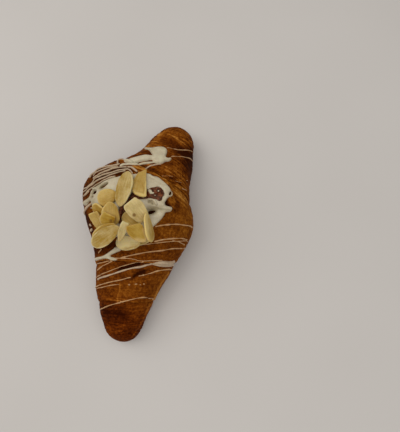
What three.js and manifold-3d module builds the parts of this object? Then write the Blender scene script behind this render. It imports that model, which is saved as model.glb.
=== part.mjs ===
// A dulce de leche croissant: a rolled pastry with a pool of white icing, a spoonful of filling in it,
// icing in thick strands and blobs, and a heap of flaked almonds.
// Millimetres, +Z up. The pastry lies on z = 0 with its tips along Y. The origin is the middle of its base.
import * as THREE from "three";
import { TessellateModifier } from "three/addons/modifiers/TessellateModifier.js";
import { mergeVertices } from "three/addons/utils/BufferGeometryUtils.js";
import Module from "manifold-3d";

const wasm = await Module();
wasm.setup();
const { Manifold, Mesh: SolidMesh } = wasm;

const GAP = 0.3; // clearance between two pieces
const SAME_PLACE = 1e-3; // corners closer than this are one

// Colours
const CRUST = 0x6b3a10;
const ICING = 0xd9cdb4;
const CARAMEL = 0x4a1f0c;
const ALMOND = { pale: 0xc9b27a, tan: 0xc0a066, gold: 0xb58a32 };

// Driving dimensions of the pastry
const LENGTH = 143;
const HEIGHT = 46;
const TURNS = 3; // turns of the roll from the point of the dough out to a tip
// Where the point is tucked under, as an angle from the right-hand side
const POINT_ANGLE = THREE.MathUtils.degToRad(-128);
// How the turns crowd together: an exponent for the middle and one for the tip, on each side of the point
const CROWDING = { near: { middle: 0.65, tip: 1 }, far: { middle: 1, tip: 2.28 } };
const TURN_STEP = 2.8; // height of the step from one turn down to the next, where the pastry is highest
const STEP_TAPER = 1.5; // how soon the steps shrink towards the tips
// One turn from its crease to its lip: how steeply it rises, how far and how late its lip droops, and how
// deep the crease lies under the plain form
const PILLOW = { rise: 9, droop: 0.35, lateness: 10, depth: 0.55 };
const COLUMNS = 64; // facets around the roll
const ROWS_PER_TURN = 5; // facets across one turn of the roll

// Sections across the pastry from the near tip to the far one: left edge, right edge and top
const SECTIONS = [
  { y: -71, left: -2, right: 21, top: 19 },
  { y: -62, left: -3.5, right: 21.5, top: 23 },
  { y: -50, left: -8.9, right: 22, top: 28 },
  { y: -36, left: -13.2, right: 25, top: 33 },
  { y: -20, left: -19.5, right: 30, top: 39 },
  { y: -5, left: -28.2, right: 33.7, top: 44 },
  { y: 8, left: -33.8, right: 34.4, top: HEIGHT },
  { y: 20, left: -32.2, right: 29.7, top: 45 },
  { y: 31, left: -23.5, right: 26, top: 41 },
  { y: 42, left: -11.5, right: 24.4, top: 35 },
  { y: 55, left: -6.5, right: 22.5, top: 29 },
  { y: 71, left: -2.5, right: 20.6, top: 23 },
];
const WAIST = 0.42; // height of the widest line, as a share of the top
const BELLY = 1.18; // how far the round underside would reach below the floor that flattens it
const ROUNDNESS = 0.9; // exponent of the section: 1 is an ellipse, less is fuller
const TIP_BLUNTNESS = 12; // how square the tips are

// Icing and filling: outlines and paths in plan, as x and y
const POOL = {
  thickness: 2.2,
  rim: 0.7,
  outline: [
    [5.8, 24.7], [11, 24.4], [15.9, 22.5], [19.8, 19.6], [21.4, 17.4], [20.4, 14.8], [19.5, 12.3],
    [19.5, 10.2], [21.1, 9.6], [23.1, 10], [23.9, 9], [23.4, 7.2], [21.3, 5.9], [20.9, 4.4], [19.9, 1.6],
    [18.5, -1], [17.1, -3.3], [14.5, -7.5], [11.5, -10.5], [5, -14], [-1, -14], [-5, -11.5], [-12, -8],
    [-18, -4], [-20.6, 0.4], [-22.4, 2], [-25, 0], [-27.6, 0], [-28.2, 1.6], [-25.6, 3], [-23.4, 4.6],
    [-23.4, 7.9], [-21, 9.6], [-17.8, 12.2], [-12, 16.3], [-8.2, 18.8], [-2, 21.6],
  ],
};
const FILLING = {
  thickness: 2.2,
  rim: 1,
  outline: [
    [8.2, 15.6], [10.8, 17.4], [13.2, 18.4], [15.6, 18], [17, 16.6], [17.2, 13.4], [17, 10.9],
    [15.6, 10.3], [13.8, 10.9], [11, 10.1], [8.2, 9.2], [5.6, 7.7], [3.4, 4], [1.8, 0.6], [0.9, -3],
    [0.2, -6.4], [-1.4, -7], [-2.6, -5.4], [-3.2, -2], [-3.4, 1.6], [-2.4, 5.6], [0, 9.6], [2.4, 12.6],
    [5.2, 14.2],
  ],
};
const BLOBS = [
  {
    thickness: 2.4,
    rim: 1.1,
    outline: [
      [0, 42], [4, 42.8], [7.4, 44.6], [10.8, 43], [12.2, 39.6], [11.6, 36.4], [8.6, 35], [4.6, 35.4],
      [1.4, 38],
    ],
  },
  {
    thickness: 1.8,
    rim: 0.8,
    outline: [
      [20.4, -22.5], [23.6, -20.3], [26.2, -19.1], [28.4, -18.5], [29.8, -17.8], [30, -19.2], [28.2, -20.9],
      [24.8, -22.4],
    ],
  },
];
const STRANDS = [
  { width: 3, path: [[-10.6, 33], [-5.4, 35], [3, 38.6]] },
  {
    width: 2.2,
    path: [[-26.5, 15.4], [-22.4, 18.7], [-18.9, 22.2], [-13.4, 25], [-8.9, 28.6], [-0.4, 32], [6.4, 36]],
  },
  { width: 2, path: [[-27.6, 9.4], [-23.7, 13.6], [-18.7, 17.7], [-13.7, 21.5], [-9.2, 24.4], [-4, 26.5]] },
  { width: 1.8, path: [[-1.8, 40.4], [1.5, 40.6], [4, 40]] },
  { width: 2.2, path: [[8, 40], [11, 40.6], [13.8, 41.2]] },
  { width: 2.6, path: [[1, -18.4], [-3.1, -22.4], [-8.2, -26], [-12.2, -28]] },
  { width: 2, path: [[-6.4, -37], [5.8, -30.4], [16.1, -24.6], [22, -21.6]] },
];
const SUNK = 1.2; // how far icing and filling reach into the skin before they are trimmed or fused
const PUDDLE_PITCH = 2.4; // spacing of the points round a pool or a blob
const PUDDLE_FACET = 3.6; // longest edge inside one
const STRAND_PITCH = 2; // mean spacing of the rings along a strand, which are closer at its ends
const STRAND_SIDES = 8;
const STRAND_HEIGHT = 0.7; // height of a strand as a share of its half-width
const STRAND_BLUNTNESS = 8; // how square the ends of a strand are

// Flaked almonds in the order they land. The heading is that of the pointed end, in degrees from +X in plan.
// Lean is a fixed tilt about the length, slope is a fixed rise along X and Y, and each break is a straight
// edge, square to a direction from the heading
const FLAKE = { thickness: 1.4, bevel: 0.3, taper: 0.22, sides: 22 };
const FLAKES = [
  { tone: "tan", x: -10.6, y: 5.2, heading: 30, length: 12, width: 9.6 },
  { tone: "tan", x: -12.8, y: -2.4, heading: -19, length: 10.5, width: 6.4 },
  {
    tone: "tan", x: -13.5, y: -7.4, heading: -52, length: 14.4, width: 8.2,
    breaks: [{ toward: 0, at: 5.6 }, { toward: 180, at: 4.6 }],
  },
  { tone: "pale", x: 12, y: -12.2, heading: 15, length: 10, width: 6.4 },
  { tone: "pale", x: 7.1, y: -15.7, heading: 12, length: 14.2, width: 8, slope: [0.1, 0.45] },
  { tone: "tan", x: 5.2, y: -3.8, heading: -28, length: 10.6, width: 7.4 },
  {
    tone: "tan", x: 6, y: 17.8, heading: 108, length: 18.4, width: 11.8, taper: 0.5, thickness: 1.8,
    breaks: [{ toward: -90, at: 1.6 }, { toward: 28, at: 6.6 }],
  },
  { tone: "pale", x: -1.9, y: 10.8, heading: -84, length: 20.8, width: 9, taper: 0.1 },
  { tone: "tan", x: -4.8, y: -3.4, heading: 96, length: 13.6, width: 10 },
  {
    tone: "gold", x: -5.4, y: -6, heading: 60, length: 11, width: 8,
    breaks: [{ toward: 12, at: 2.6 }],
  },
  { tone: "tan", x: -5.8, y: -13.6, heading: 40, length: 17.4, width: 8, slope: [0.2, 0.6] },
  { tone: "pale", x: -3.7, y: -15.6, heading: 43, length: 19.2, width: 8.8, slope: [0.16, 0.45] },
  {
    tone: "pale", x: 4.8, y: -11.2, heading: -96, length: 12, width: 4.2, taper: 0.3, slope: [-0.6, 0.4],
    breaks: [{ toward: 165, at: 4.7 }],
  },
  {
    tone: "pale", x: 8.3, y: 0.9, heading: -34, length: 17.2, width: 9.7, slope: [-0.4, 0.16],
    breaks: [{ toward: 180, at: 6.6 }, { toward: 0, at: 6.1 }],
  },
  {
    tone: "gold", x: 12.2, y: -10.2, heading: -32, length: 13.4, width: 8.4, slope: [-0.55, 0.1],
    breaks: [{ toward: 150, at: 4.4 }],
  },
  { tone: "tan", x: 16.3, y: -6.5, heading: 115, length: 15.6, width: 8.4, lean: 70 },
];
const CELL = 0.6; // grid on which the heap is measured
const FLAKE_MARGIN = 0.4; // room kept round a flake
const STEEPEST = 0.9; // limit of the slope at which a flake rests
const SEARCH_STEPS = 24;

// Catmull-Rom interpolation of one column of SECTIONS
function sectionAt(y, column) {
  const last = SECTIONS.length - 2;
  let i = 0;
  while (i < last && SECTIONS[i + 1].y < y) i++;
  const [a, b] = [SECTIONS[i], SECTIONS[i + 1]];
  const before = SECTIONS[Math.max(i - 1, 0)];
  const after = SECTIONS[Math.min(i + 2, last + 1)];
  const span = b.y - a.y;
  const slopeA = ((b[column] - before[column]) / (b.y - before.y)) * span;
  const slopeB = ((after[column] - a[column]) / (after.y - a.y)) * span;
  const t = THREE.MathUtils.clamp((y - a.y) / span, 0, 1);
  const end = 3 * t ** 2 - 2 * t ** 3;
  const bends = (t ** 3 - 2 * t ** 2 + t) * slopeA + (t ** 3 - t ** 2) * slopeB;
  return (1 - end) * a[column] + end * b[column] + bends;
}

// A point of the skin at a place along the pastry and an angle around it, lifted off the plain form
function skinPoint(y, angle, lift) {
  const tip = Math.sqrt(Math.max(1 - Math.abs((2 * y) / LENGTH) ** TIP_BLUNTNESS, 0));
  const left = sectionAt(y, "left");
  const right = sectionAt(y, "right");
  const top = sectionAt(y, "top");
  const [c, s] = [Math.cos(angle), Math.sin(angle)];
  const round = (v) => Math.sign(v) * Math.abs(v) ** ROUNDNESS;
  const waist = WAIST * top;
  const x = (left + right) / 2 + round(c) * ((right - left) / 2 + lift) * tip;
  const rise = s > 0 ? top - waist + lift : BELLY * waist;
  return new THREE.Vector3(x, y, Math.max(waist + round(s) * rise * tip, 0));
}

// How far along the half-length the edge of the dough lies after a share of its turns
function edgeReach(side, share) {
  const { middle, tip } = side < 0 ? CROWDING.near : CROWDING.far;
  return 1 - (1 - Math.min(share, 1) ** middle) ** tip;
}

// The pillow of one turn, from the crease where it comes out from under its neighbour (0) to its own lip (1)
function pillow(across) {
  const crease = 1 - Math.exp(-across * PILLOW.rise);
  const lip = 1 - PILLOW.droop * across ** PILLOW.lateness;
  return crease * lip - PILLOW.depth;
}

// The point of the skin on one turn of the roll
function rollPoint(side, turn, across, around, offset) {
  const inner = turn < 0 ? 0 : edgeReach(side, (turn + around) / TURNS);
  const outer = turn + 1 < TURNS ? edgeReach(side, (turn + 1 + around) / TURNS) : 1;
  const y = (side * LENGTH * THREE.MathUtils.lerp(inner, outer, across)) / 2;
  const pillowed = turn < 0 ? THREE.MathUtils.lerp(1 - around, 1, across) : across;
  const angle = POINT_ANGLE + around * 2 * Math.PI;
  const step = TURN_STEP * (sectionAt(y, "top") / HEIGHT) ** STEP_TAPER;
  return skinPoint(y, angle, pillow(pillowed) * step + offset);
}

// The rolled pastry as a closed geometry. Rows follow the edge of the dough, so they climb one turn per round
function rolledPastry(offset) {
  const half = [];
  for (let turn = -1; turn < TURNS; turn++)
    for (let row = 0; row <= ROWS_PER_TURN; row++) half.push({ turn, across: row / ROWS_PER_TURN });
  const rows = [
    ...half.toReversed().map((row) => ({ side: -1, ...row })),
    ...half.map((row) => ({ side: 1, ...row })),
  ];
  const points = [];
  for (let column = 0; column <= COLUMNS; column++)
    for (const { side, turn, across } of rows)
      points.push(rollPoint(side, turn, across, column / COLUMNS, offset));
  const index = [];
  for (let column = 0; column < COLUMNS; column++)
    for (let row = 0; row + 1 < rows.length; row++) {
      const a = column * rows.length + row;
      const b = a + rows.length;
      index.push(a, a + 1, b, b, a + 1, b + 1);
    }
  return closed(new THREE.BufferGeometry().setFromPoints(points).setIndex(index));
}

// Merges shared corners and drops the triangles that have shrunk to nothing
function closed(geometry) {
  geometry.deleteAttribute("normal");
  geometry.deleteAttribute("uv");
  const merged = mergeVertices(geometry, SAME_PLACE);
  const kept = [];
  const corners = merged.index.array;
  for (let i = 0; i < corners.length; i += 3) {
    const [a, b, c] = corners.slice(i, i + 3);
    if (a !== b && b !== c && c !== a) kept.push(a, b, c);
  }
  return merged.setIndex(kept);
}

// Conversions between a geometry and a solid
function solidOf(geometry) {
  const vertProperties = geometry.attributes.position.array;
  const triVerts = Uint32Array.from(geometry.index.array);
  return new Manifold(new SolidMesh({ numProp: 3, vertProperties, triVerts }));
}

function geometryOf(solid) {
  const { vertProperties, triVerts } = solid.getMesh();
  const geometry = new THREE.BufferGeometry();
  geometry.setAttribute("position", new THREE.BufferAttribute(vertProperties, 3));
  return geometry.setIndex(Array.from(triVerts));
}

// The topmost surface straight below a place in plan
const DOWN = new THREE.Vector3(0, 0, -1);
function surfaceBelow(x, y, meshes) {
  return new THREE.Raycaster(new THREE.Vector3(x, y, 2 * HEIGHT), DOWN).intersectObjects(meshes)[0];
}

// A closed smooth outline in plan, as evenly spaced points
function smoothOutline(places) {
  const curve = new THREE.CatmullRomCurve3(places.map(([x, y]) => new THREE.Vector3(x, y, 0)), true);
  const points = curve.getSpacedPoints(Math.round(curve.getLength() / PUDDLE_PITCH));
  return points.slice(1).map((point) => new THREE.Vector2(point.x, point.y));
}

// Icing or filling spread on the skin: an outline with a round rim, draped over the pastry and sunk into it
function puddle({ outline, thickness, rim }, skin, grown = 0) {
  const flat = new THREE.ExtrudeGeometry(new THREE.Shape(smoothOutline(outline)), {
    depth: thickness + SUNK - 2 * rim,
    bevelThickness: rim,
    bevelSize: rim,
    bevelOffset: grown - rim,
    bevelSegments: 2,
  });
  flat.translate(0, 0, rim - SUNK);
  const draped = closed(new TessellateModifier(PUDDLE_FACET, SEARCH_STEPS).modify(flat));
  const position = draped.attributes.position;
  for (let i = 0; i < position.count; i++) {
    const under = surfaceBelow(position.getX(i), position.getY(i), [skin]);
    position.setZ(i, position.getZ(i) + under.point.z);
  }
  return solidOf(draped);
}

// A strand of icing on the skin: a flattened tube through places in plan, with rounded ends
function strand({ width, path }, skin) {
  const curve = new THREE.CatmullRomCurve3(path.map(([x, y]) => new THREE.Vector3(x, y, 0)));
  const last = Math.ceil(curve.getLength() / STRAND_PITCH);
  const shares = Array.from({ length: last + 1 }, (_, i) => (1 - Math.cos((Math.PI * i) / last)) / 2);
  const places = shares.map((share) => curve.getPointAt(share));
  const spine = places.map((place) => surfaceBelow(place.x, place.y, [skin]));
  const points = [];
  spine.forEach(({ point, face }, i) => {
    const [before, after] = [spine[Math.max(i - 1, 0)], spine[Math.min(i + 1, last)]];
    const ahead = after.point.clone().sub(before.point);
    const out = before.face.normal.clone().add(face.normal).add(after.face.normal).normalize();
    const sideways = new THREE.Vector3().crossVectors(out, ahead).normalize();
    const reach = (width / 2) * Math.sqrt(1 - Math.abs(2 * shares[i] - 1) ** STRAND_BLUNTNESS);
    for (let side = 0; side < STRAND_SIDES; side++) {
      const angle = (side / STRAND_SIDES) * 2 * Math.PI;
      const offset = sideways.clone().multiplyScalar(Math.cos(angle) * reach);
      points.push(offset.addScaledVector(out, Math.sin(angle) * reach * STRAND_HEIGHT).add(point));
    }
  });
  const index = [];
  for (let ring = 0; ring < last; ring++)
    for (let side = 0; side < STRAND_SIDES; side++) {
      const next = (side + 1) % STRAND_SIDES;
      const [a, b] = [ring * STRAND_SIDES + side, ring * STRAND_SIDES + next];
      index.push(a, b, a + STRAND_SIDES, b, b + STRAND_SIDES, a + STRAND_SIDES);
    }
  return solidOf(closed(new THREE.BufferGeometry().setFromPoints(points).setIndex(index)));
}

// Outline of a flake along its own axes: an oval with one pointed end, straight where it is broken
function flakeOutline({ length, width, taper = FLAKE.taper, breaks = [] }) {
  const oval = Array.from({ length: FLAKE.sides }, (_, i) => {
    const t = (i / FLAKE.sides) * 2 * Math.PI;
    const narrowing = 1 - taper * Math.cos(t);
    return new THREE.Vector2((length / 2) * Math.cos(t), (width / 2) * Math.sin(t) * narrowing);
  });
  return breaks.reduce(brokenOff, oval);
}

// What is left of a convex outline on the near side of a straight break
function brokenOff(outline, { toward, at }) {
  const out = directionInPlan(toward);
  const left = outline.flatMap((point, i) => {
    const next = outline[(i + 1) % outline.length];
    const [here, there] = [point.dot(out) - at, next.dot(out) - at];
    const kept = here <= 0 ? [point] : [];
    if (here * there < 0) kept.push(point.clone().lerp(next, here / (here - there)));
    return kept;
  });
  return left.filter((point, i) => point.distanceTo(left[(i + 1) % left.length]) > FLAKE.bevel);
}

function directionInPlan(degrees) {
  const angle = THREE.MathUtils.degToRad(degrees);
  return new THREE.Vector2(Math.cos(angle), Math.sin(angle));
}

// Whether a point lies in a convex outline or within a margin of it
function inOutline(outline, point, margin) {
  return outline.every((corner, i) => {
    const edge = outline[(i + 1) % outline.length].clone().sub(corner);
    return edge.cross(point.clone().sub(corner)) >= -margin * edge.length();
  });
}

// The heap the flakes land on: heights on a grid, taken from the meshes below and raised by each flake
function makeHeap(meshes) {
  const heights = new Map();
  const measured = (i, j) => surfaceBelow(i * CELL, j * CELL, meshes)?.point.z ?? 0;
  return {
    height(i, j) {
      const key = `${i} ${j}`;
      if (!heights.has(key)) heights.set(key, measured(i, j));
      return heights.get(key);
    },
    raise(i, j, height) {
      heights.set(`${i} ${j}`, Math.max(height, this.height(i, j)));
    },
  };
}

// The cells of the heap under a flake, with their places from its middle
function cellsUnder(flake, outline, heap) {
  const cells = [];
  const reach = Math.ceil(flake.length / CELL);
  const [middleI, middleJ] = [Math.round(flake.x / CELL), Math.round(flake.y / CELL)];
  const squash = Math.cos(THREE.MathUtils.degToRad(flake.lean ?? 0));
  const turnBack = THREE.MathUtils.degToRad(-flake.heading);
  for (let i = middleI - reach; i <= middleI + reach; i++)
    for (let j = middleJ - reach; j <= middleJ + reach; j++) {
      const place = new THREE.Vector2(i * CELL - flake.x, j * CELL - flake.y);
      const local = place.clone().rotateAround(new THREE.Vector2(), turnBack);
      local.y /= squash;
      if (inOutline(outline, local, FLAKE_MARGIN)) cells.push({ i, j, place, z: heap.height(i, j) });
    }
  return cells;
}

// How high the middle of a flake stands over some cells when it lies at a slope
function standingHeight(cells, slope) {
  return cells.reduce((height, { place, z }) => Math.max(height, z - place.dot(slope)), 0);
}

// The value between the limits of slope that makes a cost lowest
function lowest(cost) {
  let [low, high] = [-STEEPEST, STEEPEST];
  for (let step = 0; step < SEARCH_STEPS; step++) {
    const third = (high - low) / 3;
    if (cost(low + third) < cost(high - third)) high -= third;
    else low += third;
  }
  return (low + high) / 2;
}

// The slope at which a flake comes to rest: the one that lets its middle sink lowest
function restingSlope(cells) {
  const slope = (x, y) => new THREE.Vector2(x, y);
  const bestY = (x) => lowest((y) => standingHeight(cells, slope(x, y)));
  const x = lowest((value) => standingHeight(cells, slope(value, bestY(value))));
  return slope(x, bestY(x));
}

// The slope of a flake that leans on the others, if it has one
function fixedSlope({ heading, lean, slope }) {
  if (slope) return new THREE.Vector2(...slope);
  if (!lean) return undefined;
  return directionInPlan(heading + 90).multiplyScalar(Math.tan(THREE.MathUtils.degToRad(lean)));
}

// One flake, dropped on the heap until it rests
function settledFlake(name, flake, heap) {
  const { thickness = FLAKE.thickness, heading } = flake;
  const outline = flakeOutline(flake);
  const cells = cellsUnder(flake, outline, heap);
  const slope = fixedSlope(flake) ?? restingSlope(cells);
  const z = standingHeight(cells, slope) + GAP;

  const forward = directionInPlan(heading);
  const normal = new THREE.Vector3(-slope.x, -slope.y, 1).normalize();
  const along = new THREE.Vector3(forward.x, forward.y, forward.dot(slope)).normalize();
  const across = new THREE.Vector3().crossVectors(normal, along);
  for (const { i, j, place } of cells) heap.raise(i, j, z + place.dot(slope) + thickness / normal.z);

  const geometry = new THREE.ExtrudeGeometry(new THREE.Shape(outline), {
    depth: thickness - 2 * FLAKE.bevel,
    bevelThickness: FLAKE.bevel,
    bevelSize: FLAKE.bevel,
    bevelOffset: -FLAKE.bevel,
    bevelSegments: 1,
  });
  geometry.translate(0, 0, FLAKE.bevel);
  const mesh = piece(name, closed(geometry), { color: ALMOND[flake.tone], roughness: 0.6 });
  mesh.position.set(flake.x, flake.y, z);
  mesh.quaternion.setFromRotationMatrix(new THREE.Matrix4().makeBasis(along, across, normal));
  return mesh;
}

// One named piece with a material of its own
function piece(name, geometry, looks) {
  const mesh = new THREE.Mesh(geometry, new THREE.MeshStandardMaterial(looks));
  mesh.name = name;
  return mesh;
}

const bare = new THREE.Mesh(rolledPastry(0));
const blobs = BLOBS.map((blob) => puddle(blob, bare));
const strands = STRANDS.map((path) => strand(path, bare));
const pastry = [...blobs, ...strands].reduce((whole, icing) => whole.add(icing), solidOf(bare.geometry));
const clearOfPastry = solidOf(rolledPastry(GAP));
const filling = puddle(FILLING, bare).subtract(clearOfPastry);
const hole = puddle({ ...FILLING, thickness: 2 * POOL.thickness, rim: 0 }, bare, GAP);
const pool = puddle(POOL, bare).subtract(clearOfPastry).subtract(hole);

const croissant = new THREE.Group();
croissant.add(
  piece("croissant", geometryOf(pastry), { color: CRUST, roughness: 0.45 }),
  piece("icing_pool", geometryOf(pool), { color: ICING, roughness: 0.35 }),
  piece("dulce_de_leche", geometryOf(filling), { color: CARAMEL, roughness: 0.2 }),
);
const heap = makeHeap([...croissant.children]);
const almonds = new THREE.Group();
FLAKES.forEach((flake, i) => {
  almonds.add(settledFlake(`almond_${String(i + 1).padStart(2, "0")}`, flake, heap));
});
croissant.add(almonds);

const middle = new THREE.Box3().setFromObject(croissant).getCenter(new THREE.Vector3());
croissant.position.set(-middle.x, -middle.y, 0);

export default croissant;
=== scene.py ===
"""Looks of the dulce de leche croissant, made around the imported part.

Shapes are given in millimetres in the frame in which the pastry was drawn, and to_frame() places them.
"""
import itertools
import math

import bpy
import numpy as np
from mathutils import Matrix, Vector
from mathutils.bvhtree import BVHTree
from mathutils.geometry import convex_hull_2d


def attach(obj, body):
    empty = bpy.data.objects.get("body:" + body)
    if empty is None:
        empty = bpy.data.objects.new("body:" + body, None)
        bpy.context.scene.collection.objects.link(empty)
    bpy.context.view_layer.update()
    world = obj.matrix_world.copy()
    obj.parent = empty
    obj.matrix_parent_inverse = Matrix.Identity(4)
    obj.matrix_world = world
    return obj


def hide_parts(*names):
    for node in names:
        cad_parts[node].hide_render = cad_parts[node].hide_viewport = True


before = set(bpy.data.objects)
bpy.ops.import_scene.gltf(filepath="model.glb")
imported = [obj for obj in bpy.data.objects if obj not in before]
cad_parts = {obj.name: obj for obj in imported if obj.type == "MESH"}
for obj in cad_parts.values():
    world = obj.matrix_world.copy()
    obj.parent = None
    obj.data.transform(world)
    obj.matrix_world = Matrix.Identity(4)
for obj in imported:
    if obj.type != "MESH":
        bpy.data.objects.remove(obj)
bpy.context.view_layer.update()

MM = 0.001
UV_SCALE = 0.01  # of UV maps, for a millimetre
RECENTRED = np.array([-0.489, 0, 0])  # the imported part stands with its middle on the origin
DOWN = Vector((0, 0, -1))

# The rolled pastry, as the solid has it
LENGTH = 143
HEIGHT = 46
TURNS = 3
POINT_ANGLE = math.radians(-128)  # where the point of the dough is tucked under
CROWDING = {-1: (0.65, 1), 1: (1, 2.28)}  # exponents that crowd the turns, near and far half
TURN_STEP = 2.8
STEP_TAPER = 1.5
WAIST = 0.42
BELLY = 1.18
ROUNDNESS = 0.9
TIP_BLUNTNESS = 12
CREASE_STEEPNESS = 9  # how quickly a turn rises from its crease
LIP_FALL, LIP_SHARPNESS = 0.35, 10  # how far and how late it falls to its lip
TURN_SINK = 0.55  # share of the step by which its crease lies below the plain form
SECTIONS = np.array([  # place along the pastry, left edge, right edge, top
    (-71, -2, 21, 19), (-62, -3.5, 21.5, 23), (-50, -8.9, 22, 28), (-36, -13.2, 25, 33),
    (-20, -19.5, 30, 39), (-5, -28.2, 33.7, 44), (8, -33.8, 34.4, HEIGHT), (20, -32.2, 29.7, 45),
    (31, -23.5, 26, 41), (42, -11.5, 24.4, 35), (55, -6.5, 22.5, 29), (71, -2.5, 20.6, 23),
])
LEFT, RIGHT, TOP = 1, 2, 3

# How finely the skin of the pastry is made
COLUMNS = 330
ROWS_PER_TURN = 29
EDGE_CROWDING = 0.09  # rows lie closer together beside a crease or a lip
TIP_END = 0.0005  # share of the half length from which the last turn ends in the tip
PASTRY_MERGE = 0.0005  # only corners that coincide are merged

# Relief of the crust
GIRTH = 150  # length of dough once around the roll, for patterns that follow it
TURN_SHIFT = 40  # sets the patterns of one turn apart from those of the next
TURN_STRIP, HALF_STRIP = 50, 300  # where each turn and each half lie on the dough's map
CREASE_FADE = 0.08  # share of a turn beside its crease over which patterns fade in
CLOSING = 0.02  # share of the way around over which patterns fade where the roll closes underneath
SWELLINGS = [(0.55, 11, 1), (0.25, 4.5, 2)]  # height, size and seed
FLAKY_FROM = (0, 25)  # the layers gape more from here to there, toward the far tip
LAYER_PITCH = 1.5
LAYER_BEND = 1.1  # in pitches
LAYER_DEPTHS = (0.05, 0.1, 0.16)  # everywhere, more where the crust is flaky, more along a lip
LAYER_SHARES = (0.6, 0.6)  # of that depth everywhere, and more or less by patches
LIP_REACH = 5
WRINKLE_HEIGHTS = (0.12, 0.12)  # everywhere, more where the crust is flaky
FINE_WRINKLE_HEIGHT = 0.08
FRAY_HEIGHT = 0.5
FRAY_REACH = 1.2
# Patterns in the sheet of dough: their sizes along its edge, across it and from turn to turn, and a seed
BENDS = ((17, 9, 1), 3)
PATCHES = ((9, 6, 1), 4)
WRINKLES = ((13, 1.1, 1), 5)
FINE_WRINKLES = ((5, 0.7, 1), 6)
FRAYS = ((3, 2, 1), 7)

# Browning of the crust, from dark (0) through brown (0.5) to gold (1), with painted shade and painted
# highlights among its marks
BROWN = 0.5
LIP_TONE, LIP_LINE = 0.3, 1.3  # amount, and width of the line along it
# Painted shade in the creases between turns, stronger toward the far half: amount, and width of the line
# along them
CREASE_SHADE, CREASE_LINE = -0.5, 1.1
CREASE_SHARES = (0.25, 0.75)  # of that amount everywhere, and more toward the far half
NEAR_TIP_TONE = -0.15
TORN_TONE = 0.3
# Painted shade in the pits
PIT_SHADE = -0.7
# Painted shade in the knob's hollow
HOLLOW_SHADE = -0.21
HOLLOW_SMOOTHNESS = 0.9  # share by which its layers show less
BLOTCHES = [(0.1, 13, 8), (0.1, 5, 9)]  # amount, size and seed
LAYERED = (0.25, 0.75, 0.2, 0.25)  # how the layers show: everywhere, far half, along a lip, near tip
LAYERED_REACH = 4  # from a lip
RUDDY = (0.3, 0.7, 0.1, 0.3)  # how red it is: near half, near tip, hollow of the knob, far end
# Where along the pastry these fade in, from here to there
SHADED_CREASES = (-10, 20)
DARK_NEAR_TIP = (-40, -58)
LAYERED_FAR_HALF = (8, 26)
RUDDY_NEAR_HALF = (5, -20)
RUDDY_NEAR_TIP = (-38, -60)
RUDDY_FAR_END = (20, 34)
MARKED_FROM = (4, 15)  # heights over which the marks below fade in
MARK_PITCH = 0.5
MARK_REACH = 30  # how far from its middle a line of marks is looked for

# Where the layers gape or the icing has a hole, as a line in plan, a width and a depth; the crust in them
# is darkened as painted shade
PITS = [
    ([(3.8, -29.9), (6.4, -28.5), (9.4, -27), (13.3, -24.8)], 0.8, 1.3),
    ([(13.1, -31.4), (15.2, -29.6), (17.3, -28)], 0.8, 0.9),
    ([(6.7, -35.1), (10.4, -33.7), (12.7, -32.4)], 0.5, 0.5),
    ([(11.8, 3.1), (15, 4.7)], 1.6, 3),
    ([(-21.6, 7.2), (-19.9, 7.7)], 1.1, 1.6),
    ([(-16.6, 10.4), (-14, 12.5)], 0.6, 0.4),
    ([(20.2, 17), (20.3, 17.9)], 0.6, 0.8),
    ([(19.6, 12.6), (20.2, 10.8)], 0.8, 0.9),
    ([(19.8, 10.2), (21.4, 10.4), (23, 10.7)], 0.6, 1.2),
]
# A wide, smooth hollow where the far tip folds in, given in the same way; it is darkened in colour as
# painted shade
KNOB_HOLLOW = ([(3.4, 54), (7.2, 52.5), (11, 51.6), (14.6, 51)], 3.2, 0.8)
# Edges of torn layers that stand proud
TORN_EDGES = [
    [(5.9, -38.3), (6.3, -41.8), (6, -45.4), (6.2, -48)],
    [(8.7, -62.4), (11.1, -60.4), (14.1, -58.6), (17.5, -57.5)],
    [(5.1, 26.1), (10.6, 25.8), (15.5, 27.8), (20, 30.7), (24.4, 35)],
    [(14, 24.9), (17.4, 25.9), (22.4, 28.8), (25.2, 32.8)],
    [(15.8, 23.3), (19.1, 24.3), (23.5, 24.8), (26.2, 26.4)],
    [(17.2, 22.8), (21.6, 20.8), (25.3, 19), (28.4, 17.1)],
    [(22, 16), (23.6, 14.6), (23.6, 12.4), (22.4, 11.4)],
]
TORN_WIDTH = 0.5
TORN_HEIGHT = 0.4
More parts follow.
